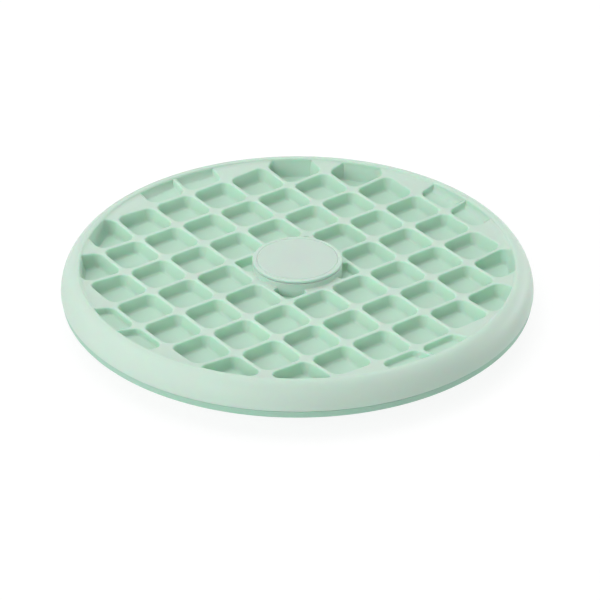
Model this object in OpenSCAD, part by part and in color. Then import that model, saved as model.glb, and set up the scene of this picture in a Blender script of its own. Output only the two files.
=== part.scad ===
// Slow feeder tray: a round pocketed tray that turns on a low base and lifts off for washing.
// Millimetres. The origin is on the tray's axis, on the surface that the foot stands on, with +Z up.

/* [Tray] */
// Outside diameter of the tray at its widest edge
tray_d = 264.2; // [250:0.1:290]
// Width of the sloping outside of the rim, seen from above
rim_slope_w = 9.4; // [8:0.1:13]
// How flat that slope is, from 1 for a quarter ellipse
rim_flatness = 1.12; // [1:0.01:1.3]
// Radius of the rounding on the inner side of the rim's crest
crest_r = 1.5; // [0.8:0.1:3]
// Height of the rim from its lower edge to its crest
rim_h = 14.3; // [12:0.1:17]
// Height of the rim's crest above the rib tops
rim_step = 4.1; // [3:0.1:6]
// Radius of the rounding on the rim's lower edge
edge_r = 0.4; // [0.2:0.1:0.8]
// Wall of the tray under the pockets and behind the rim
tray_wall = 2.2; // [1.6:0.1:2.6]

/* [Pockets] */
// Distance from one rib to the next
rib_pitch = 26.6; // [22:0.1:32]
// Width of a rib at its top
rib_w = 2.2; // [1.4:0.1:3.4]
// Depth of a pocket below the rib tops
pocket_depth = 7.3; // [6:0.1:9.5]
// Radius of a pocket's corners at the rib tops
pocket_corner_r = 5.2; // [3:0.1:9]
// How far a pocket's walls lean in from the rib tops to the floor
pocket_draft = 1.7; // [0.5:0.1:2.6]
// Depth of the narrow pockets beside the rim
edge_pocket_depth = 3.7; // [2:0.1:5]
// How near the rim's wall, on either side, the middle of such a narrow pocket lies
edge_pocket_reach = 4; // [2:0.1:6]
// Height that the ribs rise to meet the rim's crest
sweep_h = 2.4; // [0.5:0.1:2.6]
// Width of that rise
sweep_w = 26; // [10:0.5:40]
// Width of the four shallow pockets beside the collar
hub_pocket_w = 13.9; // [10:0.1:18]
// Radius of the corners of those four pockets
hub_pocket_corner_r = 2.4; // [1.2:0.1:4]

/* [Hub] */
// How far the collar round the knob stands out past the cap
collar_lap = 0.1; // [0:0.1:2]
// Height of the collar's top above the rib tops
collar_rise = 3.3; // [2:0.1:5]
// Wall of the base's spindle
spindle_wall = 1.4; // [1:0.1:2]
// Wall of the bush that the tray turns on
bush_wall = 3; // [2:0.1:3.4]
// Thickness of the bush's flange
flange_t = 1.5; // [1:0.1:2]
// How far the bush's flange stands out
flange_w = 5; // [4:0.1:7]

/* [Base] */
// How far the base's band stands back from the tray's widest edge
band_inset = 0.6; // [0.3:0.1:1.5]
// Height of the band that shows under the tray
band_h = 3.7; // [3:0.1:6]
// Height of the slanted underside below the band
under_h = 11.9; // [9:0.1:14]
// Wall of the base
base_wall = 2.4; // [2:0.1:3]
// Radius of the rounding on the band's lower edge
band_r = 0.8; // [0.4:0.1:1.2]
// Distance from the base's slanted wall to the ring that steadies the tray
rail_margin = 4.4; // [3:0.1:12]
// Width of the ring that steadies the tray
rail_w = 2.4; // [2:0.1:4]

/* [Foot] */
// Diameter of the middle of the foot ring
foot_d = 198; // [170:1:224]
// Width of the foot ring
foot_w = 10; // [6:0.1:12]
// Width of the base's flat bottom outside the foot ring
foot_margin = 4; // [2:0.1:8]
// How far the foot ring stands below the base
foot_proud = 1.5; // [1:0.1:2.5]
// How far the foot ring sits in its groove
foot_seat = 1.2; // [0.8:0.1:1.5]

/* [Knob] */
// Diameter of the knob's cap
cap_d = 50; // [46:0.1:58]
// Thickness of the knob's cap
cap_t = 1.6; // [1.5:0.1:2.6]
// Radius of the rounding on the cap's top edge
cap_edge_r = 1; // [0.4:0.1:1.2]
// Distance from the cap's edge to the fine line on it
cap_line_inset = 2.5; // [1.5:0.1:6]
// Width of the fine line on the cap
cap_line_w = 0.5; // [0.3:0.1:0.8]
// Depth of the fine line on the cap
cap_line_depth = 0.25; // [0.1:0.05:0.4]
// Height of the gap between the cap and the collar
cap_gap = 0.4; // [0.3:0.05:1]
// Width of the lip under the cap's edge
lip_w = 1.4; // [1:0.1:2]
// Height of the lip under the cap's edge
lip_h = 0.4; // [0.3:0.05:0.6]
// Width of the seal inside that lip
seal_w = 3.8; // [2:0.1:5]
// Diameter of the stem
stem_d = 16; // [14:0.1:17]
// Diameter of the spigot that joins the stem to the cap
spigot_d = 12; // [8:0.1:13]
// Height of that spigot in the cap
spigot_h = 0.5; // [0.3:0.05:0.6]
// How far the stem's lugs stand out
lug_out = 2.2; // [1.6:0.1:2.3]
// Width of a lug
lug_w = 5; // [4:0.1:6]
// Height of a lug
lug_h = 3; // [2:0.1:4]
// Thickness of the catches that hold the lugs
catch_t = 3; // [2:0.1:4]
// Number of lugs
lug_count = 2; // [2:1:3]

/* [Fits] */
// Seam between the turning tray and the base
seam_gap = 0.4; // [0.2:0.05:0.8]
// Gap between flat faces that turn on each other
face_gap = 0.1; // [0.05:0.01:0.2]
// Gap round the bush, between it and the tray
turn_fit = 0.08; // [0.05:0.01:0.1]
// Gap round parts that lift out
lift_fit = 0.1; // [0.05:0.01:0.2]
// Gap round the stem and its lugs
stem_fit = 0.3; // [0.2:0.05:0.4]
// Gap between the rib grid and the tray's walls
grid_fit = 0.05; // [0.02:0.01:0.1]
// Gap between the base's hub and the pan round it
hub_fit = 0.05; // [0.02:0.01:0.1]
// Gap between the tray and the ring that steadies it
rail_gap = 0.3; // [0.2:0.05:0.5]

/* [Hidden] */
$fn = 96;
mint = [0.79, 0.87, 0.82];
mint_base = [0.62, 0.76, 0.68];
soft_grey = [0.55, 0.62, 0.58];
natural_white = [0.92, 0.92, 0.89];

// Points on one round stretch of an outline
arc_steps = 8;
// Points on the rim's slope
slope_steps = 12;
// Points on the rise of the ribs
sweep_steps = 6;
// How far a cutter runs past the face that it opens
past = 1;
// How far a pocket's flat walls stand inside its round corners, so that the two meet at an edge
corner_overlap = 0.03;
// Turn of the curve inside the hollow rim, from its lower edge
hollow_turn = 80;

// Radii
tray_r = tray_d / 2;
crest_radius = tray_r - rim_slope_w;
rim_inner_r = crest_radius - crest_r;
pocket_wall_r = rim_inner_r + tray_wall;
cap_r = cap_d / 2;
collar_r = cap_r + collar_lap;
seal_r = cap_r - lip_w - lift_fit;
head_r = seal_r - seal_w - lift_fit;
stem_r = stem_d / 2;
lug_r = stem_r + lug_out;
catch_r = stem_r + stem_fit;
lug_room_r = lug_r + stem_fit;
spindle_r = lug_room_r + spindle_wall;
bush_bore_r = spindle_r + lift_fit;
bush_r = bush_bore_r + bush_wall;
flange_r = bush_r + flange_w;
hub_bore_r = bush_r + turn_fit;
band_r_out = tray_r - band_inset;
foot_in_r = (foot_d - foot_w) / 2;
foot_out_r = (foot_d + foot_w) / 2;
bottom_r = foot_out_r + foot_margin;
rail_out_r = bottom_r - base_wall - rail_margin;

// Heights above the surface that the foot stands on
base_z = foot_proud;
base_floor_z = base_z + base_wall;
band_z = base_z + under_h;
band_top_z = band_z + band_h;
edge_z = band_top_z + seam_gap;
crest_z = edge_z + rim_h;
rib_z = crest_z - rim_step;
floor_z = rib_z - pocket_depth;
under_z = floor_z - tray_wall;
collar_z = rib_z + collar_rise;
cap_z = collar_z + cap_gap;
cap_top_z = cap_z + cap_t;
recess_z = cap_z + lip_h;
socket_z = recess_z + spigot_h;
head_z = collar_z;
spindle_top_z = head_z - face_gap;
bush_top_z = head_z - 2 * face_gap;
flange_top_z = under_z - face_gap;
flange_z = flange_top_z - flange_t;
rail_z = under_z - rail_gap;
catch_z = spindle_top_z - catch_t;
lug_top_z = catch_z - stem_fit;
lug_z = lug_top_z - lug_h;

// Pockets
pocket_half = (rib_pitch - rib_w) / 2;
hub_pocket_half = hub_pocket_w / 2;
hub_pocket_at = rib_pitch - rib_w / 2 - hub_pocket_half;
wall_lean = pocket_draft / pocket_depth;
pocket_reach = ceil(rim_inner_r / rib_pitch);
edge_pocket_z = rib_z + sweep_h / 2 - edge_pocket_depth;
pocket_steps = [for (i = [-pocket_reach : pocket_reach - 1]) (i + 0.5) * rib_pitch];

// Points on an ellipse's stretch, from angle a to angle b, round the centre c
function arc(c, rx, rz, a, b) =
    [for (i = [0 : arc_steps])
        let (t = a + (b - a) * i / arc_steps)
        [c[0] + rx * cos(t), c[1] + rz * sin(t)]];

// Points on the rim's slope, from its crest out to its widest edge
function slope(c, rx, rz) =
    [for (i = [0 : slope_steps])
        let (t = 90 - 90 * i / slope_steps)
        [c[0] + rx * pow(cos(t), rim_flatness), c[1] + rz * pow(sin(t), rim_flatness)]];

// Points on the rise of the ribs, from the rim's wall in to where it begins
function sweep(wall_r) =
    [for (i = [sweep_steps : -1 : 0])
        let (t = i / sweep_steps)
        [wall_r - sweep_w * (1 - t), rib_z + sweep_h * t * t]];

// One drafted pocket with round corners, from `below` under its floor at z = 0 to past the highest ribs
module pocket(half, corner_r, depth, below = 0) {
    low_inset = wall_lean * (depth + below);
    above = sweep_h + past;
    high_flare = wall_lean * above;
    low_half = half - low_inset - corner_overlap;
    high_half = half + high_flare - corner_overlap;
    corner_at = half - corner_r;
    cut_h = below + depth + above;
    translate([0, 0, -below]) {
        for (x = [-corner_at, corner_at], y = [-corner_at, corner_at])
            translate([x, y, 0])
                cylinder(h = cut_h, r1 = corner_r - low_inset, r2 = corner_r + high_flare);
        for (turn = [0, 90])
            rotate([90, 0, turn])
                linear_extrude(height = 2 * corner_at, center = true)
                    polygon([[-low_half, 0], [low_half, 0], [high_half, cut_h], [-high_half, cut_h]]);
    }
}

// Every pocket in its place. A pocket is small and shallow beside the collar, deep if its middle lies well
// inside the rim's wall, and shallow and narrow if its middle lies beside the wall.
module pockets() {
    for (x = pocket_steps, y = pocket_steps) {
        middle = norm([x, y]);
        if (middle < rib_pitch)
            translate([sign(x) * hub_pocket_at, sign(y) * hub_pocket_at, rib_z - edge_pocket_depth])
                pocket(hub_pocket_half, hub_pocket_corner_r, edge_pocket_depth);
        else if (middle < rim_inner_r - edge_pocket_reach)
            translate([x, y, floor_z]) pocket(pocket_half, pocket_corner_r, pocket_depth, below = past);
        else if (middle < rim_inner_r + edge_pocket_reach)
            translate([x, y, edge_pocket_z]) pocket(pocket_half, pocket_corner_r, edge_pocket_depth);
    }
}

// The ribs between the pockets, on the tray's floor from the collar to the rim's wall
module rib_grid() {
    wall_r = rim_inner_r - grid_fit;
    hole_r = collar_r + grid_fit;
    color(mint)
        difference() {
            rotate_extrude()
                polygon(concat([[hole_r, floor_z], [wall_r, floor_z]], sweep(wall_r), [[hole_r, rib_z]]));
            pockets();
        }
}

// The tray's section: cored hub, floor and hollow rim
module tray_section() {
    polygon(concat(
        [[hub_bore_r, under_z],
         [hub_bore_r, collar_z],
         [collar_r, collar_z],
         [collar_r, floor_z],
         [rim_inner_r, floor_z]],
        arc([crest_radius, crest_z - crest_r], crest_r, crest_r, 180, 90),
        slope([crest_radius, edge_z + edge_r], rim_slope_w, rim_h - edge_r),
        arc([tray_r - edge_r, edge_z + edge_r], edge_r, edge_r, 0, -90),
        [[tray_r - tray_wall, edge_z]],
        arc([crest_radius, edge_z + edge_r], rim_slope_w - tray_wall, rim_h - edge_r - tray_wall,
            0, hollow_turn),
        [[pocket_wall_r, crest_z - crest_r - tray_wall / 2],
         [pocket_wall_r, under_z],
         [collar_r - tray_wall, under_z],
         [collar_r - tray_wall, collar_z - tray_wall],
         [hub_bore_r + tray_wall, collar_z - tray_wall],
         [hub_bore_r + tray_wall, under_z]]));
}

module feeder_tray() {
    color(mint)
        rotate_extrude() tray_section();
}

// The pan's section: band, slanted underside, steadying ring and foot groove
module pan_section() {
    under_turn = -atan2(band_r_out - bottom_r, under_h);
    wall_top_r = band_r_out - base_wall;
    rail_in_r = rail_out_r - rail_w;
    hole_r = flange_r + hub_fit;
    groove_in = foot_in_r - lift_fit;
    groove_out = foot_out_r + lift_fit;
    polygon(concat(
        [[hole_r, base_z],
         [groove_in, base_z],
         [groove_in, base_z + foot_seat],
         [groove_out, base_z + foot_seat],
         [groove_out, base_z],
         [bottom_r, base_z]],
        arc([band_r_out - band_r, band_z + band_r], band_r, band_r, under_turn, 0),
        [[band_r_out, band_top_z],
         [wall_top_r, band_top_z],
         [wall_top_r, band_z + base_wall],
         [bottom_r - base_wall, base_floor_z],
         [rail_out_r, base_floor_z],
         [rail_out_r, rail_z],
         [rail_in_r, rail_z],
         [rail_in_r, base_floor_z],
         [hole_r, base_floor_z]]));
}

module base_pan() {
    color(mint_base)
        rotate_extrude() pan_section();
}

// The hub's section: bush seat and spindle
module hub_section() {
    seat_in_r = flange_r - base_wall;
    polygon([
        [lug_room_r, base_z],
        [flange_r, base_z],
        [flange_r, flange_z],
        [seat_in_r, flange_z],
        [seat_in_r, base_floor_z],
        [spindle_r, base_floor_z],
        [spindle_r, spindle_top_z],
        [catch_r, spindle_top_z],
        [catch_r, catch_z],
        [lug_room_r, catch_z]]);
}

module base_hub() {
    slot_w = lug_w + 2 * stem_fit;
    color(mint_base)
        difference() {
            rotate_extrude() hub_section();
            for (i = [0 : lug_count - 1])
                rotate(i * 360 / lug_count)
                    intersection() {
                        translate([0, -slot_w / 2, catch_z - past])
                            cube([lug_r + lug_room_r, slot_w, catch_t + 2 * past]);
                        cylinder(h = cap_top_z, r = lug_room_r);
                    }
        }
}

module foot_ring() {
    color(soft_grey)
        difference() {
            cylinder(h = foot_proud + foot_seat, r = foot_out_r);
            translate([0, 0, -past])
                cylinder(h = foot_proud + foot_seat + 2 * past, r = foot_in_r);
        }
}

module hub_bush() {
    color(natural_white)
        difference() {
            union() {
                translate([0, 0, flange_z]) cylinder(h = flange_t, r = flange_r);
                translate([0, 0, flange_z]) cylinder(h = bush_top_z - flange_z, r = bush_r);
            }
            translate([0, 0, flange_z - past])
                cylinder(h = bush_top_z - flange_z + 2 * past, r = bush_bore_r);
        }
}

module knob_seal() {
    seal_h = recess_z - collar_z - 2 * face_gap;
    color(soft_grey)
        translate([0, 0, collar_z + face_gap])
            difference() {
                cylinder(h = seal_h, r = seal_r);
                translate([0, 0, -past]) cylinder(h = seal_h + 2 * past, r = seal_r - seal_w);
            }
}

module knob_stem() {
    head_h = recess_z - head_z;
    color(natural_white) {
        translate([0, 0, head_z]) cylinder(h = head_h, r = head_r);
        translate([0, 0, head_z + head_h / 2]) cylinder(h = head_h / 2 + spigot_h, d = spigot_d);
        translate([0, 0, lug_z]) cylinder(h = head_z - lug_z + head_h / 2, r = stem_r);
        for (i = [0 : lug_count - 1])
            rotate(i * 360 / lug_count)
                intersection() {
                    translate([0, -lug_w / 2, lug_z]) cube([lug_r + lug_out, lug_w, lug_h]);
                    cylinder(h = cap_top_z, r = lug_r);
                }
    }
}

// The cap's section: a disc with a round top edge and a fine line, a lip under its edge, and a socket for
// the spigot
module cap_section() {
    line_r = cap_r - cap_line_inset;
    socket_r = spigot_d / 2 + lift_fit;
    polygon(concat(
        [[0, socket_z],
         [socket_r, socket_z],
         [socket_r, recess_z],
         [cap_r - lip_w, recess_z],
         [cap_r - lip_w, cap_z],
         [cap_r, cap_z]],
        arc([cap_r - cap_edge_r, cap_top_z - cap_edge_r], cap_edge_r, cap_edge_r, 0, 90),
        [[line_r + cap_line_w / 2, cap_top_z],
         [line_r, cap_top_z - cap_line_depth],
         [line_r - cap_line_w / 2, cap_top_z],
         [0, cap_top_z]]));
}

module knob_cap() {
    color(mint)
        rotate_extrude() cap_section();
}

base_pan();
base_hub();
foot_ring();
hub_bush();
feeder_tray();
rib_grid();
knob_seal();
knob_stem();
knob_cap();
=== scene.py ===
"""Dresses the slow feeder tray: a pocketed tray that turns on a low base, with a knob in its middle.

Sizes are in millimetres and repeat those of the CAD frame. Meshes are in metres, in the frame's own axes.
"""

import logging
import math
from collections.abc import Sequence
from dataclasses import dataclass, field
from enum import Enum
from typing import Any

import bmesh
import bpy
from bpy.types import Camera, Light, Material, Mesh, Node, NodeSocket, NodeTree, Object, World
from mathutils import Matrix, Vector


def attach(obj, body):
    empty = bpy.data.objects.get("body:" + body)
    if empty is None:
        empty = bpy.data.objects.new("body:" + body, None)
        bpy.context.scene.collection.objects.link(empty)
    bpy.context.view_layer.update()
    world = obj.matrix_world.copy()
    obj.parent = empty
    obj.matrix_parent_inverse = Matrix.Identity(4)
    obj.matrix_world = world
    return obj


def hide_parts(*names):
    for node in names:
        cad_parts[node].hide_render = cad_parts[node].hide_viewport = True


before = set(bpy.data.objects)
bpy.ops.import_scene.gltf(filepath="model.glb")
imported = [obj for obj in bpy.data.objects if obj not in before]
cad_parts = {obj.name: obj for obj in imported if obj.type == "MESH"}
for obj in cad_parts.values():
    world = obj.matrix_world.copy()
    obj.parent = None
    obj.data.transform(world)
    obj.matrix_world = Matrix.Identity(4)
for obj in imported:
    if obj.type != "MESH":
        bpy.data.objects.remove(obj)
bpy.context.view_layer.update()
LOG = logging.getLogger("slow_feeder_tray")
MM = 0.001
# Steps round the axis, on large and on small pieces.
TURNS, SMALL_TURNS = 288, 128
# An edge sharper than this stays crisp.
CRISP_ABOVE = math.radians(34)
# A corner stays plain where half its inner angle is past this.
NEARLY_STRAIGHT = math.radians(88)
# The most of a stretch that the rounding at its end may take.
ROUNDING_SHARE = 0.48
# How closed shapes are cut and joined.
SOLVER = "MANIFOLD"
# A radius in mm under which a point lies on the axis.
ON_AXIS = 1e-6
WHITE = (1.0, 1.0, 1.0, 1.0)

Point = tuple[float, float]


class Body(Enum):
    """The bodies of the frame that pieces ride on."""

    BASE = "base"
    BUSH = "bush"
    TRAY = "tray"
    SEAL = "seal"
    KNOB = "knob"


class Change(Enum):
    """What one closed shape does to another."""

    TRIM = "INTERSECT"
    CUT = "DIFFERENCE"
    JOIN = "UNION"


@dataclass(frozen=True)
class Corner:
    """One corner of an outline, in mm, and the radius that rounds it."""

    r: float
    z: float
    rounding: float = 0.0


def linear(code: str) -> tuple[float, float, float, float]:
    """Turns an sRGB hex colour into linear values.

    Args:
        code: Six hex digits.

    Returns:
        Linear red, green, blue and an alpha of 1.
    """
    parts = [int(code[i : i + 2], 16) / 255 for i in (0, 2, 4)]
    r, g, b = (c / 12.92 if c <= 0.04045 else ((c + 0.055) / 1.055) ** 2.4 for c in parts)
    return r, g, b, 1.0


def add_node(tree: NodeTree, kind: str, inputs: dict[Any, Any] | None = None, **settings: Any) -> Node:
    """Adds a node with its settings and links.

    Args:
        tree: The tree that the node joins.
        kind: The node's type name.
        inputs: Socket name or index to a value, to a socket that is linked to it, or to a node, whose first
            output is linked. A list links each of its members.
        settings: Properties of the node.

    Returns:
        The new node.
    """
    node = tree.nodes.new(kind)
    for name, value in settings.items():
        setattr(node, name, value)
    for name, value in (inputs or {}).items():
        for item in value if isinstance(value, list) else [value]:
            if isinstance(item, Node):
                tree.links.new(item.outputs[0], node.inputs[name])
            elif isinstance(item, NodeSocket):
                tree.links.new(item, node.inputs[name])
            else:
                node.inputs[name].default_value = item
    return node


def bare_tree(owner: Material | World) -> NodeTree:
    """Empties the node tree of a new material or world.

    Args:
        owner: The material or world.

    Returns:
        Its tree.
    """
    owner.use_nodes = True
    owner.node_tree.nodes.clear()
    return owner.node_tree


def direction(azimuth: float, elevation: float) -> Vector:
    """Gives the way out from the origin at two angles.

    Args:
        azimuth: Degrees round the Z axis, from X.
        elevation: Degrees above the floor.

    Returns:
        A vector of length 1.
    """
    az, el = math.radians(azimuth), math.radians(elevation)
    return Vector((math.cos(el) * math.cos(az), math.cos(el) * math.sin(az), math.sin(el)))


def soften(corners: Sequence[Corner], steps: int = 6) -> list[Point]:
    """Rounds the corners of a closed outline.

    Args:
        corners: The outline's corners in order.
        steps: Stretches in each rounded corner.

    Returns:
        Points of the rounded outline, in mm.
    """
    points: list[Point] = []
    for before, corner, after in zip(corners[-1:] + corners[:-1], corners, corners[1:] + corners[:1]):
        here = Vector((corner.r, corner.z))
        back, on = Vector((before.r, before.z)) - here, Vector((after.r, after.z)) - here
        half = back.angle(on) / 2
        if corner.rounding <= 0 or half > NEARLY_STRAIGHT:
            points.append((corner.r, corner.z))
            continue
        reach = min(corner.rounding / math.tan(half), ROUNDING_SHARE * min(back.length, on.length))
        start, end = here + back.normalized() * reach, here + on.normalized() * reach
        centre = here + (back.normalized() + on.normalized()).normalized() * reach / math.cos(half)
        first, last = start - centre, end - centre
        sweep = first.angle_signed(last)
        for i in range(steps + 1):
            spoke = Matrix.Rotation(-sweep * i / steps, 2) @ first
            points.append((centre.x + spoke.x, centre.y + spoke.y))
    return points


def ellipse(
    centre: Point, rx: float, rz: float, start: float, end: float, steps: int, flatness: float = 1.0,
) -> list[Corner]:
    """Gives corners along a stretch of an ellipse.

    Args:
        centre: The ellipse's middle, in mm.
        rx: Its half width.
        rz: Its half height.
        start: Angle of the first corner, in degrees.
        end: Angle of the last corner, in degrees.
        steps: Stretches between the two.
        flatness: Above 1 the curve is flatter than an ellipse.

    Returns:
        The corners in order.
    """
    corners = []
    for i in range(steps + 1):
        turn = math.radians(start + (end - start) * i / steps)
        across, up = math.cos(turn), math.sin(turn)
        across, up = (math.copysign(abs(share) ** flatness, share) for share in (across, up))
        corners.append(Corner(centre[0] + rx * across, centre[1] + rz * up))
    return corners


def bar_plan(radius: float, width: float, steps: int = 8) -> list[Point]:
    """Gives the plan of a bar across the axis, with ends that follow a circle.

    Args:
        radius: The circle's radius, in mm.
        width: The bar's width, in mm.
        steps: Stretches in each end.

    Returns:
        Points round the bar.
    """
    spread = math.asin(width / 2 / radius)
    turns = [spread * (1 - 2 * i / steps) for i in range(steps + 1)]
    end = [(radius * math.cos(turn), radius * math.sin(turn)) for turn in turns]
    return end + [(-x, -y) for x, y in end]


def closed_mesh(name: str, points: Sequence[Sequence[float]], faces: Sequence[Sequence[int]]) -> Mesh:
    """Makes a closed mesh with its faces pointing outwards.

    Args:
        name: The mesh's name.
        points: Vertices in mm.
        faces: Vertex numbers of each face.

    Returns:
        The mesh, in metres.
    """
    mesh = bpy.data.meshes.new(name)
    mesh.from_pydata([[c * MM for c in p] for p in points], [], faces)
    shell = bmesh.new()
    shell.from_mesh(mesh)
    bmesh.ops.recalc_face_normals(shell, faces=shell.faces)
    shell.to_mesh(mesh)
    shell.free()
    return mesh


def revolve(name: str, outline: Sequence[Point], turns: int = TURNS) -> Mesh:
    """Turns a closed outline round the Z axis.

    Args:
        name: The mesh's name.
        outline: Radius and height of each point, in mm. Points on the axis become poles.
        turns: Steps round the axis.

    Returns:
        The closed mesh.
    """
    points: list[tuple[float, float, float]] = []
    rings: list[list[int]] = []
    for r, z in outline:
        count = turns if r > ON_AXIS else 1
        rings.append(list(range(len(points), len(points) + count)))
        angles = [2 * math.pi * i / turns for i in range(count)]
        points += [(r * math.cos(a), r * math.sin(a), z) for a in angles]
    faces: list[list[int]] = []
    for low, high in zip(rings, rings[1:] + rings[:1]):
        if len(low) == len(high) == 1:
            continue
        for i in range(turns):
            j = (i + 1) % turns
            loop = [low[i % len(low)], low[j % len(low)], high[j % len(high)], high[i % len(high)]]
            faces.append(list(dict.fromkeys(loop)))
    return closed_mesh(name, points, faces)


def loft(name: str, loops: Sequence[Sequence[Sequence[float]]]) -> Mesh:
    """Joins loops of equal length into a closed skin.

    Args:
        name: The mesh's name.
        loops: Loops of points in mm, from the first cap to the last.

    Returns:
        The closed mesh.
    """
    count = len(loops[0])
    points = [p for loop in loops for p in loop]
    faces: list[list[int]] = [list(range(count)), [len(points) - 1 - i for i in range(count)]]
    for level in range(len(loops) - 1):
        a, b = level * count, (level + 1) * count
        faces += [[a + i, a + (i + 1) % count, b + (i + 1) % count, b + i] for i in range(count)]
    return closed_mesh(name, points, faces)


def place(name: str, content: Mesh | Light | Camera) -> Object:
    """Puts a mesh, a light or a camera in the scene as an object at the origin.

    Args:
        name: The object's name.
        content: What it holds.

    Returns:
        The object.
    """
    thing = bpy.data.objects.new(name, content)
    bpy.context.scene.collection.objects.link(thing)
    return thing


def settle(thing: Object) -> Mesh:
    """Takes an object's evaluated shape as a plain mesh and removes the object.

    Args:
        thing: The object, with its modifiers.

    Returns:
        The plain mesh.
    """
    graph = bpy.context.evaluated_depsgraph_get()
    mesh = bpy.data.meshes.new_from_object(thing.evaluated_get(graph), depsgraph=graph)
    bpy.data.objects.remove(thing)
    return mesh


def combine(start: Mesh, change: Change, other: Mesh) -> Mesh:
    """Changes one closed mesh by another.

    Args:
        start: The mesh that is changed.
        change: What the other does to it.
        other: The other mesh.

    Returns:
        The plain mesh that results.
    """
    blank, tool = place(start.name, start), place(other.name, other)
    step = blank.modifiers.new("change", "BOOLEAN")
    step.operation, step.solver, step.object = change.value, SOLVER, tool
    mesh = settle(blank)
    bpy.data.objects.remove(tool)
    return mesh


def grow(tree: NodeTree, start: Mesh, inputs: dict[str, Any]) -> Mesh:
    """Runs a Geometry Nodes tree on a mesh.

    Args:
        tree: The tree, with named inputs.
        start: The mesh that it begins with.
        inputs: Values by input name.

    Returns:
        The plain mesh that results.
    """
    thing = place(tree.name, start)
    modifier = thing.modifiers.new("shape", "NODES")
    modifier.node_group = tree
    for item in tree.interface.items_tree:
        if item.in_out == "INPUT" and item.name in inputs:
            modifier[item.identifier] = inputs[item.name]
    return settle(thing)


def new_tree(name: str, inputs: dict[str, str]) -> tuple[NodeTree, Node, Node]:
    """Starts a Geometry Nodes tree.

    Args:
        name: The tree's name.
        inputs: Socket types by input name, after the geometry.

    Returns:
        The tree, its input node and its output node.
    """
    tree = bpy.data.node_groups.new(name, "GeometryNodeTree")
    tree.interface.new_socket("Geometry", in_out="INPUT", socket_type="NodeSocketGeometry")
    for label, kind in inputs.items():
        tree.interface.new_socket(label, in_out="INPUT", socket_type=kind)
    tree.interface.new_socket("Geometry", in_out="OUTPUT", socket_type="NodeSocketGeometry")
    return tree, tree.nodes.new("NodeGroupInput"), tree.nodes.new("NodeGroupOutput")


def finish_tree(tree: NodeTree, shape: Node, given: Node, out: Node) -> None:
    """Ends a Geometry Nodes tree with real geometry in its material.

    Args:
        tree: The tree.
        shape: The node whose geometry is kept.
        given: The tree's input node, with a Material.
        out: The tree's output node.
    """
    real = add_node(tree, "GeometryNodeRealizeInstances", {0: shape})
    dressed = add_node(tree, "GeometryNodeSetMaterial", {
        "Geometry": real, "Material": given.outputs["Material"]})
    tree.links.new(dressed.outputs[0], out.inputs[0])


def seat(name: str, mesh: Mesh, look: Material, body: Body, nodes: Sequence[str]) -> None:
    """Makes a finished piece of a mesh and hands it to the frame.

    Args:
        name: The piece's name.
        mesh: Its mesh.
        look: Its material.
        body: The body that it rides on.
        nodes: The CAD nodes that it stands for.
    """
    mesh.materials.clear()
    mesh.materials.append(look)
    mesh.shade_smooth()
    mesh.set_sharp_from_angle(angle=CRISP_ABOVE)
    draft = place(name + "_draft", mesh)
    draft.modifiers.new("normals", "WEIGHTED_NORMAL").keep_sharp = True
    piece = place(name, settle(draft))
    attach(piece, body.value)
    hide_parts(*nodes)
    LOG.info("%s: %d faces on %s", name, len(piece.data.polygons), body.value)


@dataclass(frozen=True)
class MouldedPlastic:
    """A moulded plastic or rubber: its tint, gloss, depth and the marks of its mould."""

    name: str
    tint: str
    flow_tint: str
    roughness: float
    roughness_spread: float
    ior: float
    gloss_level: float
    subsurface: float
    glow_mm: tuple[float, float, float]
    flow_mm: float
    grain_mm: float
    grain_depth_mm: float

    def shaded(self, tree: NodeTree, spot: NodeSocket, tint: Node) -> dict[str, Any]:
        """Gives the tint and the glow of every place on the piece.

        Args:
            tree: The material's tree.
            spot: Where on the piece a point lies.
            tint: The plain tint.

        Returns:
            Values and sockets by the shader's input, the same all over the piece.
        """
        return {
            "Base Color": tint.outputs[2], "Subsurface Weight": self.subsurface,
            "Subsurface Radius": self.glow_mm}

    def material(self) -> Material:
        """Builds the material's nodes.

        Returns:
            The material.
        """
        look = bpy.data.materials.new(self.name)
        tree = bare_tree(look)
        spot = add_node(tree, "ShaderNodeTexCoord").outputs["Object"]
        flow = add_node(tree, "ShaderNodeTexNoise", {
            "Vector": spot, "Scale": 1 / (self.flow_mm * MM), "Detail": 3.0, "Roughness": 0.5,
            "Distortion": 0.6})
        grain = add_node(tree, "ShaderNodeTexNoise", {
            "Vector": spot, "Scale": 1 / (self.grain_mm * MM), "Detail": 2.0, "Roughness": 0.6})
        tint = add_node(tree, "ShaderNodeMix", {
            0: flow.outputs["Fac"], 6: linear(self.tint), 7: linear(self.flow_tint)}, data_type="RGBA")
        gloss = add_node(tree, "ShaderNodeMapRange", {
            "Value": flow.outputs["Fac"], "From Min": 0.3, "From Max": 0.7,
            "To Min": self.roughness - self.roughness_spread,
            "To Max": self.roughness + self.roughness_spread})
        bump = add_node(tree, "ShaderNodeBump", {
            "Height": grain.outputs["Fac"], "Strength": 0.6, "Distance": self.grain_depth_mm * MM})
        shader = add_node(tree, "ShaderNodeBsdfPrincipled", {
            **self.shaded(tree, spot, tint), "Roughness": gloss, "Normal": bump, "IOR": self.ior,
            "Specular IOR Level": self.gloss_level, "Subsurface Scale": MM})
        add_node(tree, "ShaderNodeOutputMaterial", {"Surface": shader})
        return look


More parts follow.
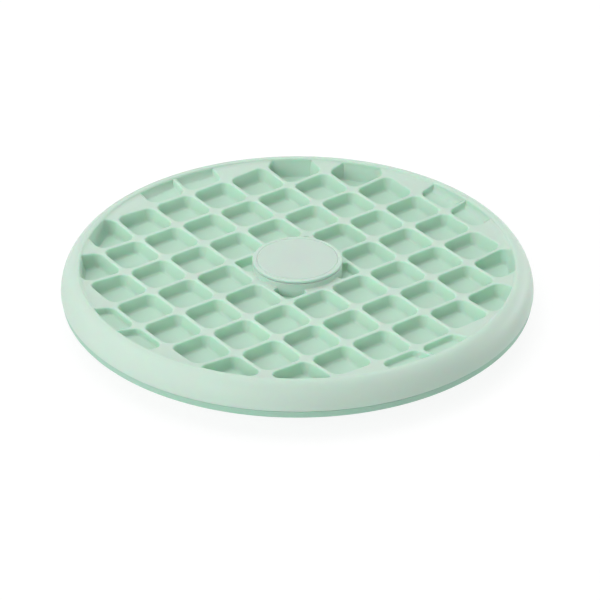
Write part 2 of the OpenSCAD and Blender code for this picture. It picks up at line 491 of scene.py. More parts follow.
@dataclass(frozen=True)
class PocketedPlastic(MouldedPlastic):
    """A moulded plastic with thin pocket walls, which let more light through, and a greener tint in its
    pockets that is painted shade.

    A pocket lies under top_mm, within reach_mm of the axis, and its painted shade tint comes in over fade_mm.
    A face turns into a wall where its upward share falls from level to upright.
    """

    # The greener tint that paints the shade in the pockets and on the walls inside the rim.
    pocket_shade_tint: str
    thin_subsurface: float
    thin_glow_mm: tuple[float, float, float]
    top_mm: float
    fade_mm: float
    reach_mm: float
    level: float
    upright: float

    def shaded(self, tree: NodeTree, spot: NodeSocket, tint: Node) -> dict[str, Any]:
        """Paints shade as a greener tint in the pockets and on the walls inside the rim; deepens the walls'
        glow.

        Args:
            tree: The material's tree.
            spot: Where on the piece a point lies.
            tint: The plain tint.

        Returns:
            Sockets and nodes by the shader's input.
        """
        facing = add_node(tree, "ShaderNodeTexCoord")
        lie = add_node(tree, "ShaderNodeSeparateXYZ", {0: facing.outputs["Normal"]})
        parts = add_node(tree, "ShaderNodeSeparateXYZ", {0: spot})
        flat = add_node(tree, "ShaderNodeVectorMath", {0: spot, 1: (1.0, 1.0, 0.0)}, operation="MULTIPLY")
        away = add_node(tree, "ShaderNodeVectorMath", {0: flat}, operation="LENGTH")
        below = add_node(tree, "ShaderNodeMapRange", {
            "Value": parts.outputs["Z"], "From Min": self.top_mm * MM,
            "From Max": (self.top_mm - self.fade_mm) * MM,
        }, interpolation_type="SMOOTHSTEP")
        steep = add_node(tree, "ShaderNodeMapRange", {
            "Value": lie.outputs["Z"], "From Min": self.level, "From Max": self.upright,
        }, interpolation_type="SMOOTHSTEP")
        within = add_node(tree, "ShaderNodeMath", {
            0: away.outputs["Value"], 1: self.reach_mm * MM}, operation="LESS_THAN")
        hollows = add_node(tree, "ShaderNodeMath", {0: below, 1: steep}, operation="MAXIMUM")
        pockets, walls = (
            add_node(tree, "ShaderNodeMath", {0: mask, 1: within}, operation="MULTIPLY")
            for mask in (hollows, steep))
        # Painted shade: the pockets and the walls inside the rim take the greener tint.
        shade = add_node(tree, "ShaderNodeMix", {
            0: pockets, 6: tint.outputs[2], 7: linear(self.pocket_shade_tint)}, data_type="RGBA")
        weight = add_node(tree, "ShaderNodeMix", {
            0: walls, 2: self.subsurface, 3: self.thin_subsurface}, data_type="FLOAT")
        glow = add_node(tree, "ShaderNodeMix", {
            0: walls, 4: self.glow_mm, 5: self.thin_glow_mm}, data_type="VECTOR")
        return {
            "Base Color": shade.outputs[2], "Subsurface Weight": weight,
            "Subsurface Radius": glow.outputs[1]}


# The grain of each mould is too fine to show in the picture, so grain_mm is coarser than the real one.

# Moulded polypropylene, satin: an even pale mint with soft broad highlights and a dull sheen. The pockets and
# the walls inside the rim take a greener tint, which is painted shade; their thin walls also let light
# through.
TRAY_PLASTIC = PocketedPlastic(
    name="moulded_polypropylene_satin_mint", tint="C1D6C9", flow_tint="C4D9CC", roughness=0.42,
    roughness_spread=0.03, ior=1.49, gloss_level=0.2, subsurface=0.55, glow_mm=(0.9, 3.4, 1.9),
    flow_mm=38.0, grain_mm=0.9, grain_depth_mm=0.012, pocket_shade_tint="BCD9C8", thin_subsurface=0.65,
    thin_glow_mm=(1.2, 5.5, 3.4), top_mm=27.5, fade_mm=1.5, reach_mm=121.3, level=0.9, upright=0.35)
# The same plastic on the base, in a deeper mint that paints the shade on the band under the rim: satin, with
# a sheen that shows at the band's edge.
BASE_PLASTIC = MouldedPlastic(
    name="moulded_polypropylene_satin_deep_mint", tint="A0C6B3", flow_tint="A4CAB7", roughness=0.5,
    roughness_spread=0.03, ior=1.62, gloss_level=0.3, subsurface=0.45, glow_mm=(0.8, 3.0, 1.7),
    flow_mm=42.0, grain_mm=0.9, grain_depth_mm=0.014)
# Thermoplastic rubber, moulded: matt, soft and a little darker where it grips the floor.
FOOT_RUBBER = MouldedPlastic(
    name="moulded_rubber_matt_grey_green", tint="7F958A", flow_tint="879D92", roughness=0.72,
    roughness_spread=0.05, ior=1.5, gloss_level=0.5, subsurface=0.1, glow_mm=(0.5, 0.7, 0.6),
    flow_mm=12.0, grain_mm=0.7, grain_depth_mm=0.03)
# Silicone rubber, moulded: a soft mint ring in the gap under the cap, tinted light as painted light, so that
# the shade in that gap looks paler.
SEAL_RUBBER = MouldedPlastic(
    name="moulded_silicone_soft_mint", tint="A9CFBA", flow_tint="AED3BF", roughness=0.55,
    roughness_spread=0.04, ior=1.41, gloss_level=0.5, subsurface=0.5, glow_mm=(0.8, 2.0, 1.3),
    flow_mm=10.0, grain_mm=0.6, grain_depth_mm=0.008)
# Natural acetal, moulded: a slippery milky white that lets a little light in.
BUSH_PLASTIC = MouldedPlastic(
    name="moulded_acetal_natural_white", tint="E4E3DB", flow_tint="EAE9E2", roughness=0.3,
    roughness_spread=0.04, ior=1.48, gloss_level=0.5, subsurface=0.4, glow_mm=(2.2, 2.0, 1.8),
    flow_mm=9.0, grain_mm=0.6, grain_depth_mm=0.006)


@dataclass(frozen=True)
class Pocket:
    """One kind of pocket, in mm: half its width at the rib tops, its corners, depth, floor and cove."""

    half: float
    corner_r: float
    depth: float
    floor_round: float
    dish: float
    cove: float
    cove_flatness: float


@dataclass
class Tray:
    """The turning tray: rim, ribs, pockets and the collar round the knob."""

    radius: float = 132.1
    slope_w: float = 9.4
    flatness: float = 1.12
    crest_round: float = 1.5
    crest_z: float = 31.8
    edge_z: float = 17.5
    edge_round: float = 0.4
    wall: float = 2.2
    rib_z: float = 27.7
    floor_z: float = 20.4
    collar_r: float = 25.1
    collar_z: float = 31.0
    bore_r: float = 15.08
    pitch: float = 26.6
    hub_at: float = 18.55
    deep: Pocket = Pocket(12.2, 5.0, 7.3, 1.8, 0.25, 4.0, 1.1)
    edge: Pocket = Pocket(12.2, 5.0, 3.7, 1.2, 0.05, 6.0, 1.0)
    hub: Pocket = Pocket(6.95, 2.4, 5.0, 1.0, 0.0, 4.0, 1.0)
    lean: float = 0.233
    corner_lean: float = 0.3
    corner_limit: float = 0.8
    floor_shares: tuple[float, ...] = (0.1, 0.3, 0.5, 0.7, 0.85)
    rib_round: float = 1.0
    brink_angle: float = 80.0
    brink_drop: float = 0.02
    brink_lead: float = 0.05
    round_steps: int = 6
    room_drop: float = 1.0
    cove_drop: float = 0.3
    cove_steps: int = 12
    edge_reach: float = 4.0
    sweep_rise: float = 2.4
    sweep_w: float = 26.0
    sweep_step: float = 2.4
    sweep_rings: int = 16
    top_margin: float = 0.05
    brow_rise: float = 0.6
    brow_w: float = 2.0
    brow_rings: int = 5
    brow_angle: float = 163.0
    crest_steps: int = 12
    slope_steps: int = 28
    edge_steps: int = 5
    inside_arc: tuple[float, float] = (2.0, 80.0)
    inside_steps: int = 14
    corner_steps: int = 9
    clip: float = 0.02
    over: float = 1.4

    @property
    def crest_r(self) -> float:
        """Radius of the rim's crest."""
        return self.radius - self.slope_w

    @property
    def rim_inner_r(self) -> float:
        """Radius of the rim's inner wall."""
        return self.crest_r - self.crest_round

    def outline(self) -> list[Point]:
        """Gives the section of the tray before its pockets are cut.

        Returns:
            Points of the section, in mm.
        """
        under_z = self.floor_z - self.wall
        low = self.edge_z + self.edge_round
        high = self.crest_z - low
        in_rib = [self.sweep_step * i for i in range(self.sweep_rings, 0, -1)]
        in_brow = [self.brow_w * i / self.brow_rings for i in range(self.brow_rings - 1, -1, -1)]
        return soften([
            Corner(self.bore_r, under_z, 0.3), Corner(self.bore_r, self.collar_z, 0.4),
            Corner(self.collar_r, self.collar_z, 0.45), Corner(self.collar_r, self.rib_z, 0.6),
            *(Corner(self.rim_inner_r - step, self.rib_z) for step in in_rib + in_brow),
            *ellipse((self.crest_r, self.crest_z - self.crest_round), self.crest_round, self.crest_round,
                     self.brow_angle, 90, self.crest_steps),
            *ellipse((self.crest_r, low), self.slope_w, high, 90, 0, self.slope_steps, self.flatness)[1:],
            *ellipse((self.radius - self.edge_round, low), self.edge_round, self.edge_round,
                     0, -90, self.edge_steps)[1:],
            Corner(self.radius - self.wall, self.edge_z, 0.3),
            *ellipse((self.crest_r, low), self.slope_w - self.wall, high - self.wall,
                     *self.inside_arc, self.inside_steps),
            Corner(self.rim_inner_r + self.wall, self.crest_z - self.crest_round - self.wall / 2, 0.3),
            Corner(self.rim_inner_r + self.wall, under_z, 0.8),
            Corner(self.collar_r - self.wall, under_z, 0.5),
            Corner(self.collar_r - self.wall, self.collar_z - self.wall, 0.5),
            Corner(self.bore_r + self.wall, self.collar_z - self.wall, 0.5),
            Corner(self.bore_r + self.wall, under_z, 0.3)])

    def pocket_loop(self, kind: Pocket, half: float, z: float) -> list[tuple[float, float, float]]:
        """Gives one level of a pocket.

        Args:
            kind: The kind of pocket.
            half: Half the pocket's width at that level, in mm.
            z: The level's height, in mm.

        Returns:
            Points round a square with round corners.
        """
        within = kind.half - half
        shift = self.corner_lean * within if within > 0 else -within
        at = min(kind.half - kind.corner_r + shift, self.corner_limit * half)
        points = []
        for quarter in range(4):
            for i in range(self.corner_steps + 1):
                turn = math.radians(90 * (quarter + i / self.corner_steps))
                sx = 1 if quarter in (0, 3) else -1
                sy = 1 if quarter in (0, 1) else -1
                x, y = (half - at) * math.cos(turn), (half - at) * math.sin(turn)
                points.append((sx * at + x, sy * at + y, z))
        return points

    def pocket(self, kind: Pocket) -> Mesh:
        """Makes the shape of one pocket, from its floor to above the rib tops.

        Args:
            kind: The kind of pocket.

        Returns:
            The closed shape, round the origin.
        """
        floor_z = self.rib_z - kind.depth
        tilt, brink = math.atan(self.lean), math.radians(self.brink_angle)
        low_half = kind.half - self.lean * kind.depth
        flat = low_half - kind.floor_round * math.tan((math.pi / 2 - tilt) / 2)
        levels = [(flat * share, floor_z - kind.dish * (1 - share**2)) for share in self.floor_shares]
        for i in range(self.round_steps + 1):
            turn = (math.pi / 2 - tilt) * i / self.round_steps
            out, up = kind.floor_round * math.sin(turn), kind.floor_round * (1 - math.cos(turn))
            levels.append((flat + out, floor_z + up))
        centre_z = self.rib_z - self.brink_drop - self.rib_round * math.sin(brink)
        wall_z = centre_z + self.rib_round * math.sin(tilt)
        centre_r = kind.half - self.lean * (self.rib_z - wall_z) + self.rib_round * math.cos(tilt)
        for i in range(self.round_steps + 1):
            turn = tilt + (brink - tilt) * i / self.round_steps
            out, up = self.rib_round * math.cos(turn), self.rib_round * math.sin(turn)
            levels.append((centre_r - out, centre_z + up))
        half, z = levels[-1]
        levels.append((half + self.brink_lead * math.tan(brink), z + self.brink_lead))
        levels.append((levels[-1][0], self.rib_z + self.over))
        return loft("pocket", [self.pocket_loop(kind, h, level) for h, level in levels])

    def room(self, kind: Pocket) -> Mesh:
        """Makes the ring that pockets of one kind stay in, with a cove where their floors meet the rim.

        Args:
            kind: The kind of pocket.

        Returns:
            The closed ring.
        """
        inner, outer = self.collar_r + self.clip, self.rim_inner_r - self.clip
        low, top = self.rib_z - kind.depth - self.room_drop, self.rib_z + self.over / 2
        brink = self.rib_z - self.cove_drop
        cove = ellipse((outer - kind.cove, brink), kind.cove, brink - low, -90, 0, self.cove_steps,
                       kind.cove_flatness)
        return revolve("room", [(inner, low), *((c.r, c.z) for c in cove), (outer, top), (inner, top)])

    def tree(self) -> NodeTree:
        """Builds the rule that sets out the pockets and cuts them.

        Returns:
            The Geometry Nodes tree.
        """
        sizes = [
            "Pitch", "Rim Radius", "Edge Reach", "Hub Span", "Floor", "Edge Floor", "Rib Top", "Sweep Rise",
            "Sweep Width", "Brow Rise", "Brow Width"]
        shapes = [which + what for which in ("Deep", "Edge", "Hub") for what in (" Pocket", " Room")]
        tree, given, out = new_tree("pocketed_tray", {
            "Across": "NodeSocketInt", **dict.fromkeys(sizes, "NodeSocketFloat"),
            **dict.fromkeys(shapes, "NodeSocketObject"), "Material": "NodeSocketMaterial"})
        socket = given.outputs
        gaps = add_node(tree, "ShaderNodeMath", {0: socket["Across"], 1: 1.0}, operation="SUBTRACT")
        span = add_node(tree, "ShaderNodeMath", {0: gaps, 1: socket["Pitch"]}, operation="MULTIPLY")
        grid, centre = (
            add_node(tree, "GeometryNodeMeshGrid", {
                "Size X": size, "Size Y": size, "Vertices X": count, "Vertices Y": count})
            for size, count in ((span, socket["Across"]), (socket["Hub Span"], 2)))
        place_at = add_node(tree, "GeometryNodeInputPosition")
        away = add_node(tree, "ShaderNodeVectorMath", {0: place_at}, operation="LENGTH").outputs["Value"]
        short, reach = (
            add_node(tree, "ShaderNodeMath", {
                0: socket["Rim Radius"], 1: socket["Edge Reach"]}, operation=way)
            for way in ("SUBTRACT", "ADD"))
        inside, near, central = (
            add_node(tree, "FunctionNodeCompare", {0: away, 1: limit}, operation="LESS_THAN")
            for limit in (short, reach, socket["Pitch"]))
        beside, between = (
            add_node(tree, "FunctionNodeBooleanMath", {0: wide, 1: narrow}, operation="NIMPLY")
            for wide, narrow in ((near, inside), (inside, central)))
        pockets = []
        kinds = (("Deep", grid, between), ("Edge", grid, beside), ("Hub", centre, central))
        for which, points, chosen in kinds:
            shape, room = (
                add_node(tree, "GeometryNodeObjectInfo", {"Object": socket[which + what]}).outputs["Geometry"]
                for what in (" Pocket", " Room"))
            set_out = add_node(tree, "GeometryNodeInstanceOnPoints", {
                "Points": points, "Selection": chosen, "Instance": shape})
            solid = add_node(tree, "GeometryNodeRealizeInstances", {0: set_out})
            pockets.append(add_node(tree, "GeometryNodeMeshBoolean", {
                1: [solid, room]}, operation=Change.TRIM.value, solver=SOLVER))
        every = add_node(tree, "GeometryNodeJoinGeometry", {0: pockets})
        cut = add_node(tree, "GeometryNodeMeshBoolean", {
            0: socket["Geometry"], 1: every}, operation=Change.CUT.value, solver=SOLVER)
        swept = add_node(tree, "GeometryNodeSetPosition", {
            "Geometry": cut, "Offset": self.sweep(tree, given)})
        finish_tree(tree, swept, given, out)
        return tree

    def sweep(self, tree: NodeTree, given: Node) -> NodeSocket:
        """Adds the rule that lifts ribs and edge pockets as they near the rim.

        Args:
            tree: The tree that it joins.
            given: The tree's inputs.

        Returns:
            The socket with each point's lift.
        """
        socket = given.outputs
        place_at = add_node(tree, "GeometryNodeInputPosition")
        parts = add_node(tree, "ShaderNodeSeparateXYZ", {0: place_at})
        flat = add_node(tree, "ShaderNodeCombineXYZ", {"X": parts.outputs["X"], "Y": parts.outputs["Y"]})
        away = add_node(tree, "ShaderNodeVectorMath", {0: flat}, operation="LENGTH").outputs["Value"]
        gain: Any = 0.0
        for which in ("Sweep", "Brow"):
            start = add_node(tree, "ShaderNodeMath", {
                0: socket["Rim Radius"], 1: socket[which + " Width"]}, operation="SUBTRACT")
            share = add_node(tree, "ShaderNodeMapRange", {
                "Value": away, "From Min": start, "From Max": socket["Rim Radius"]})
            curve = add_node(tree, "ShaderNodeMath", {0: share, 1: 2.0}, operation="POWER")
            gain = add_node(tree, "ShaderNodeMath", {
                0: curve, 1: socket[which + " Rise"], 2: gain}, operation="MULTIPLY_ADD")
        height = add_node(tree, "ShaderNodeMapRange", {
            "Value": parts.outputs["Z"], "From Min": socket["Floor"], "From Max": socket["Edge Floor"],
        }, interpolation_type="SMOOTHSTEP")
        brink = add_node(tree, "ShaderNodeMath", {
            0: socket["Rim Radius"], 1: self.clip * MM}, operation="ADD")
        low, inside = (
            add_node(tree, "ShaderNodeMath", {0: value, 1: limit}, operation="LESS_THAN")
            for value, limit in ((parts.outputs["Z"], socket["Rib Top"]), (away, brink)))
        for share in (height, low, inside):
            gain = add_node(tree, "ShaderNodeMath", {0: gain, 1: share}, operation="MULTIPLY")
        return add_node(tree, "ShaderNodeCombineXYZ", {"Z": gain}).outputs[0]

    def build(self, look: Material) -> None:
        """Makes the tray and seats it.

        Args:
            look: Its material.
        """
        helpers: dict[str, Object] = {}
        for name, kind in (("Deep", self.deep), ("Edge", self.edge), ("Hub", self.hub)):
            helpers[name + " Pocket"] = place(name + "_pocket", self.pocket(kind))
            helpers[name + " Room"] = place(name + "_room", self.room(kind))
        mesh = grow(self.tree(), revolve("tray_blank", self.outline()), {
            "Pitch": self.pitch * MM, "Across": 2 * math.ceil(self.rim_inner_r / self.pitch),
            "Rim Radius": self.rim_inner_r * MM, "Edge Reach": self.edge_reach * MM,
            "Hub Span": 2 * self.hub_at * MM, "Floor": self.floor_z * MM,
            "Edge Floor": (self.rib_z - self.edge.depth) * MM, "Rib Top": (self.rib_z + self.top_margin) * MM,
            "Sweep Rise": self.sweep_rise * MM, "Sweep Width": self.sweep_w * MM,
            "Brow Rise": self.brow_rise * MM, "Brow Width": self.brow_w * MM, "Material": look, **helpers})
        for helper in helpers.values():
            bpy.data.objects.remove(helper)
        seat("tray_moulding", mesh, look, Body.TRAY, ["feeder_tray", "rib_grid"])


@dataclass
class Base:
    """The low base: band, slanted underside, steadying ring, bush seat, spindle and its rubber foot."""

    band_r: float = 131.5
    band_z: float = 13.5
    inner_z: float = 15.8
    band_top_z: float = 17.1
    bottom_z: float = 1.5
    bottom_r: float = 108.0
    wall: float = 2.4
    groove_in: float = 93.9
    groove_out: float = 104.1
    groove_h: float = 1.2
    rail_in: float = 98.8
    rail_out: float = 101.2
    rail_z: float = 17.9
    seat_r: float = 20.0
    seat_z: float = 16.6
    spindle_r: float = 11.9
    spindle_z: float = 30.9
    catch_r: float = 8.3
    catch_z: float = 27.9
    lug_room_r: float = 10.5
    slot_w: float = 5.6
    slot_over: float = 0.5
    foot_in: float = 94.0
    foot_out: float = 104.0
    foot_h: float = 2.7
    tread_count: int = 120
    tread_size: tuple[float, float, float] = (7.6, 2.6, 0.6)
    tread_corner: float = 0.5
    tread_sink: float = 0.2
    tread_round: tuple[Point, ...] = ((0.0, 0.25), (0.12, 0.06), (0.3, 0.0))

    def outline(self) -> list[Point]:
        """Gives the base's section.

        Returns:
            Points of the section, in mm.
        """
        groove_z = self.bottom_z + self.groove_h
        floor_z = self.bottom_z + self.wall
        inner_r = self.band_r - self.wall
        return soften([
            Corner(self.lug_room_r, self.bottom_z, 0.4), Corner(self.groove_in, self.bottom_z, 0.2),
            Corner(self.groove_in, groove_z), Corner(self.groove_out, groove_z),
            Corner(self.groove_out, self.bottom_z, 0.2), Corner(self.bottom_r, self.bottom_z, 1.2),
            Corner(self.band_r, self.band_z, 1.3), Corner(self.band_r, self.band_top_z, 0.4),
            Corner(inner_r, self.band_top_z, 0.4), Corner(inner_r, self.inner_z, 1.5),
            Corner(self.bottom_r - self.wall, floor_z, 1.5), Corner(self.rail_out, floor_z, 0.5),
            Corner(self.rail_out, self.rail_z, 0.6), Corner(self.rail_in, self.rail_z, 0.6),
            Corner(self.rail_in, floor_z, 0.8), Corner(self.seat_r, floor_z, 0.8),
            Corner(self.seat_r, self.seat_z, 0.3), Corner(self.seat_r - self.wall, self.seat_z, 0.3),
            Corner(self.seat_r - self.wall, floor_z, 0.5), Corner(self.spindle_r, floor_z, 0.5),
            Corner(self.spindle_r, self.spindle_z, 0.5), Corner(self.catch_r, self.spindle_z, 0.4),
            Corner(self.catch_r, self.catch_z, 0.2), Corner(self.lug_room_r, self.catch_z, 0.2)])

    def slots(self) -> Mesh:
        """Makes the shape of the two slots that the knob's lugs drop through.

        Returns:
            The closed shape.
        """
        plan = bar_plan(self.lug_room_r, self.slot_w)
        levels = (self.catch_z - self.slot_over, self.spindle_z + self.slot_over)
        return loft("slots", [[(x, y, z) for x, y in plan] for z in levels])

    def tread_tree(self) -> NodeTree:
        """Builds the rule that sets grip blocks round the foot.

        Returns:
            The Geometry Nodes tree.
        """
        tree, given, out = new_tree("tread_blocks", {
            "Count": "NodeSocketInt", "Radius": "NodeSocketFloat", "Block": "NodeSocketObject",
            "Material": "NodeSocketMaterial"})
        ring = add_node(tree, "GeometryNodeMeshCircle", {
            "Vertices": given.outputs["Count"], "Radius": given.outputs["Radius"]})
        spot = add_node(tree, "GeometryNodeInputPosition")
        aim = add_node(tree, "FunctionNodeAlignRotationToVector", {"Vector": spot}, axis="X")
        block = add_node(tree, "GeometryNodeObjectInfo", {"Object": given.outputs["Block"]})
        set_out = add_node(tree, "GeometryNodeInstanceOnPoints", {
            "Points": ring.outputs["Mesh"], "Instance": block.outputs["Geometry"], "Rotation": aim})
        both = add_node(tree, "GeometryNodeJoinGeometry", {0: [given.outputs["Geometry"], set_out]})
        finish_tree(tree, both, given, out)
        return tree

    def foot(self) -> list[Point]:
        """Gives the foot ring's section above its tread.

        Returns:
            Points of the section, in mm.
        """
        low = self.tread_size[2]
        return soften([
            Corner(self.foot_in, low, 0.4), Corner(self.foot_out, low, 0.4),
            Corner(self.foot_out, self.foot_h, 0.3), Corner(self.foot_in, self.foot_h, 0.3)])

    def tread_block(self) -> Mesh:
        """Makes one grip block that stands on the floor.

        Returns:
            The closed block, round the origin.
        """
        long, wide, high = self.tread_size
        cut = self.tread_corner
        loops = []
        for z, shrink in (*self.tread_round, (high + self.tread_sink, 0.0)):
            x, y = long / 2 - shrink, wide / 2 - shrink
            loops.append([
                (x, y - cut, z), (x - cut, y, z), (cut - x, y, z), (-x, y - cut, z),
                (-x, cut - y, z), (cut - x, -y, z), (x - cut, -y, z), (x, cut - y, z)])
        return loft("tread_block", loops)

    def build(self, look: Material, rubber: Material) -> None:
        """Makes the base and its foot and seats them.

        Args:
            look: The base's material.
            rubber: The foot's material.
        """
        mesh = combine(revolve("base_blank", self.outline()), Change.CUT, self.slots())
        seat("base_moulding", mesh, look, Body.BASE, ["base_pan", "base_hub"])
        block = place("tread_block", self.tread_block())
        tread = grow(self.tread_tree(), revolve("foot_blank", self.foot()), {
            "Count": self.tread_count, "Radius": (self.foot_in + self.foot_out) / 2 * MM, "Block": block,
            "Material": rubber})
        bpy.data.objects.remove(block)
        seat("foot_tread", tread, rubber, Body.BASE, ["foot_ring"])


@dataclass
class Bush:
    """The flanged bush between the base's spindle and the tray."""

    bore_r: float = 12.0
    outer_r: float = 15.0
    flange_r: float = 20.0
    flange_z: float = 16.6
    flange_t: float = 1.5
    top_z: float = 30.8

    def build(self, look: Material) -> None:
        """Makes the bush and seats it.

        Args:
            look: Its material.
        """
        step_z = self.flange_z + self.flange_t
        outline = soften([
            Corner(self.bore_r, self.flange_z, 0.5), Corner(self.flange_r, self.flange_z, 0.3),
            Corner(self.flange_r, step_z, 0.4), Corner(self.outer_r, step_z, 0.05),
            Corner(self.outer_r, self.top_z, 0.5), Corner(self.bore_r, self.top_z, 0.5)])
        mesh = revolve("bush", outline, SMALL_TURNS)
        seat("turning_bush", mesh, look, Body.BUSH, ["hub_bush"])


@dataclass
class Knob:
    """The knob: cap, stem with its lugs, and the soft seal under the cap."""

    cap_r: float = 25.0
    cap_z: float = 31.4
    cap_top_z: float = 33.0
    cap_round: float = 0.95
    line_r: float = 22.5
    line_w: float = 0.9
    line_depth: float = 0.45
    lip_w: float = 1.4
    recess_z: float = 31.8
    socket_r: float = 6.1
    socket_z: float = 32.3
    seal_in: float = 19.7
    seal_out: float = 23.5
    seal_z: float = 31.1
    seal_top_z: float = 31.7
    seal_nose: float = 0.3
    head_r: float = 19.6
    head_z: float = 31.0
    stem_r: float = 8.0
    stem_z: float = 24.6
    spigot_r: float = 6.0
    lug_r: float = 10.2
    lug_w: float = 5.0
    lug_h: float = 3.0
    lug_lift: float = 0.001
    lug_round: float = 0.3
    lug_tip: float = 0.96

    def cap(self) -> list[Point]:
        """Gives the cap's section: a round-edged disc with one fine line.

        Returns:
            Points of the section, in mm.
        """
        half = self.line_w / 2
        return soften([
            Corner(0, self.socket_z), Corner(self.socket_r, self.socket_z, 0.2),
            Corner(self.socket_r, self.recess_z, 0.2), Corner(self.cap_r - self.lip_w, self.recess_z, 0.1),
            Corner(self.cap_r - self.lip_w, self.cap_z, 0.2), Corner(self.cap_r, self.cap_z, 0.12),
            Corner(self.cap_r, self.cap_top_z, self.cap_round),
            Corner(self.line_r + half, self.cap_top_z, 0.15),
            Corner(self.line_r, self.cap_top_z - self.line_depth, 0.12),
            Corner(self.line_r - half, self.cap_top_z, 0.15), Corner(0, self.cap_top_z)])

    def stem(self) -> Mesh:
        """Makes the stem with its head, spigot and two lugs.

        Returns:
            The closed mesh.
        """
        outline = soften([
            Corner(0, self.stem_z), Corner(self.stem_r, self.stem_z, 0.6),
            Corner(self.stem_r, self.head_z, 0.2), Corner(self.head_r, self.head_z, 0.2),
            Corner(self.head_r, self.recess_z, 0.2), Corner(self.spigot_r, self.recess_z, 0.1),
            Corner(self.spigot_r, self.socket_z, 0.2), Corner(0, self.socket_z)])
        plan = bar_plan(self.lug_r, self.lug_w)
        low, high = self.stem_z + self.lug_lift, self.stem_z + self.lug_lift + self.lug_h
        levels = (
            (low, self.lug_tip), (low + self.lug_round, 1.0),
            (high - self.lug_round, 1.0), (high, self.lug_tip))
        loops = [[(x * share, y * share, z) for x, y in plan] for z, share in levels]
        return combine(revolve("stem", outline, SMALL_TURNS), Change.JOIN, loft("lugs", loops))

    def build(self, cap_look: Material, stem_look: Material, seal_look: Material) -> None:
        """Makes the knob's pieces and seats them.

        Args:
            cap_look: The cap's material.
            stem_look: The stem's material.
            seal_look: The seal's material.
        """
        middle_z, nose_r = (self.seal_z + self.seal_top_z) / 2, self.seal_out - self.seal_nose
        seal = soften([
            Corner(self.seal_in, self.seal_z, 0.1), Corner(nose_r, self.seal_z, 0.2),
            Corner(self.seal_out, middle_z, 0.2), Corner(nose_r, self.seal_top_z, 0.2),
            Corner(self.seal_in, self.seal_top_z, 0.1)])
        seat("knob_disc", revolve("cap", self.cap()), cap_look, Body.KNOB, ["knob_cap"])
        seat("knob_shaft", self.stem(), stem_look, Body.KNOB, ["knob_stem"])
        seat("knob_ring", revolve("seal", seal), seal_look, Body.SEAL, ["knob_seal"])


@dataclass(frozen=True)
class Lamp:
    """One softbox: where it hangs, in degrees and mm, its size and how bright its face is."""

    name: str
    azimuth: float
    height: float
    away: float
    size: tuple[float, float]
    glow: float

    def hang(self) -> None:
        """Hangs the lamp so that it faces the object."""
        spot = direction(self.azimuth, self.height) * self.away * MM
        light = bpy.data.lights.new(self.name, "AREA")
        light.shape = "RECTANGLE"
        light.size, light.size_y = (side * MM for side in self.size)
        light.energy = self.glow * math.pi * light.size * light.size_y
        lamp = place(self.name, light)
        lamp.location = spot
        lamp.rotation_euler = spot.to_track_quat("Z", "Y").to_euler()


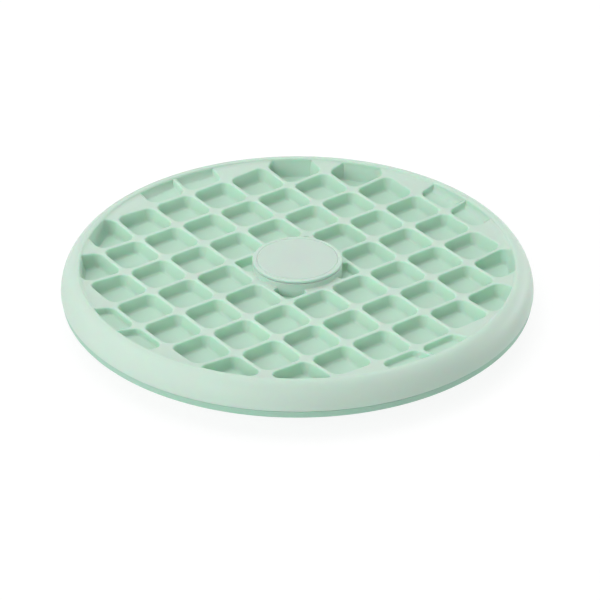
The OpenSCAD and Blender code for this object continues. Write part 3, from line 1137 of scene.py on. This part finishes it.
@dataclass
class Studio:
    """The pale floor, the soft lights and the camera of the photograph."""

    image_px: int = 600
    focal_px: float = 2704.5
    sensor_mm: float = 36.0
    azimuth: float = -36.595
    elevation: float = 30.98
    distance: float = 1517.87
    slide: tuple[float, float] = (1.515, -6.204)
    aim_z: float = 13.2
    floor_size: float = 8000.0
    paper: str = "E8E8E8"
    shadow_paper: str = "6C6C6C"
    paper_white: float = 0.88
    world_light: float = 0.19
    lamps: list[Lamp] = field(default_factory=lambda: [
        Lamp("front_softbox", 285.0, 22.0, 2200.0, (2000.0, 1300.0), 3.53),
        Lamp("left_softbox", 240.0, 60.0, 1900.0, (1200.0, 1200.0), 1.7),
        Lamp("top_softbox", 143.0, 86.0, 1900.0, (1500.0, 1500.0), 1.67),
        Lamp("back_softbox", 143.4, 52.0, 2200.0, (2000.0, 1200.0), 1.23),
        Lamp("right_softbox", 100.0, 25.0, 2200.0, (1500.0, 1200.0), 0.58),
        Lamp("right_strip", 75.0, 9.0, 2400.0, (2400.0, 700.0), 4.5)])

    def axes(self) -> tuple[Vector, Vector, Vector]:
        """Gives the camera's right, up and backward directions.

        Returns:
            Three vectors of length 1.
        """
        back, right = direction(self.azimuth, self.elevation), direction(self.azimuth + 90, 0)
        return right, back.cross(right), back

    def camera(self) -> None:
        """Makes the camera at the photograph's angle."""
        right, up, back = self.axes()
        spot = right * self.slide[0] + up * self.slide[1] + back * self.distance
        spot.z += self.aim_z
        lens = bpy.data.cameras.new("photo_camera")
        lens.sensor_width = self.sensor_mm
        lens.lens = self.focal_px * self.sensor_mm / self.image_px
        eye = place("photo_camera", lens)
        turn = Matrix((right, up, back)).transposed().to_4x4()
        eye.matrix_world = Matrix.Translation(spot * MM) @ turn
        bpy.context.scene.camera = eye

    def seen(self, tree: NodeTree) -> NodeSocket:
        """Gives a socket that is 1 where the camera, a reflection or glass looks.

        Args:
            tree: The tree that it joins.

        Returns:
            The socket.
        """
        rays = add_node(tree, "ShaderNodeLightPath")
        first = add_node(tree, "ShaderNodeMath", {
            0: rays.outputs["Is Camera Ray"], 1: rays.outputs["Is Glossy Ray"]}, operation="MAXIMUM")
        return add_node(tree, "ShaderNodeMath", {
            0: first, 1: rays.outputs["Is Transmission Ray"]}, operation="MAXIMUM").outputs[0]

    def surround(self) -> None:
        """Makes the white surround that fills the shadows."""
        world = bpy.data.worlds.new("white_room")
        bpy.context.scene.world = world
        tree = bare_tree(world)
        strength = add_node(tree, "ShaderNodeMapRange", {
            "Value": self.seen(tree), "To Min": self.world_light, "To Max": 1.0})
        light = add_node(tree, "ShaderNodeBackground", {"Color": WHITE, "Strength": strength})
        add_node(tree, "ShaderNodeOutputWorld", {"Surface": light})

    def floor(self) -> None:
        """Makes the pale floor, which shows white and keeps the object's shadow."""
        half = self.floor_size / 2 * MM
        corners = [(-half, -half, 0), (half, -half, 0), (half, half, 0), (-half, half, 0)]
        mesh = bpy.data.meshes.new("studio_floor")
        mesh.from_pydata(corners, [], [(0, 1, 2, 3)])
        look = bpy.data.materials.new("studio_paper_white")
        tree = bare_tree(look)
        paper, shade = (
            add_node(tree, "ShaderNodeBsdfDiffuse", {"Color": linear(tone)})
            for tone in (self.paper, self.shadow_paper))
        white = add_node(tree, "ShaderNodeEmission", {"Color": WHITE, "Strength": self.paper_white})
        shown = add_node(tree, "ShaderNodeAddShader", {0: shade, 1: white})
        mix = add_node(tree, "ShaderNodeMixShader", {0: self.seen(tree), 1: paper, 2: shown})
        add_node(tree, "ShaderNodeOutputMaterial", {"Surface": mix})
        mesh.materials.append(look)
        floor = place("studio_floor", mesh)

    def build(self) -> None:
        """Sets up the camera, lights, surround and floor."""
        self.camera()
        for lamp in self.lamps:
            lamp.hang()
        self.surround()
        self.floor()
        bpy.context.scene.view_settings.view_transform = "Standard"


def main() -> None:
    """Builds the studio and every piece."""
    logging.basicConfig(level=logging.INFO, format="%(name)s: %(message)s")
    Studio().build()
    mint, mint_painted_shade = TRAY_PLASTIC.material(), BASE_PLASTIC.material()
    rubber, silicone, natural = FOOT_RUBBER.material(), SEAL_RUBBER.material(), BUSH_PLASTIC.material()
    Tray().build(mint)
    Base().build(mint_painted_shade, rubber)
    Bush().build(natural)
    Knob().build(mint, natural, silicone)


if __name__ == "__main__":
    main()
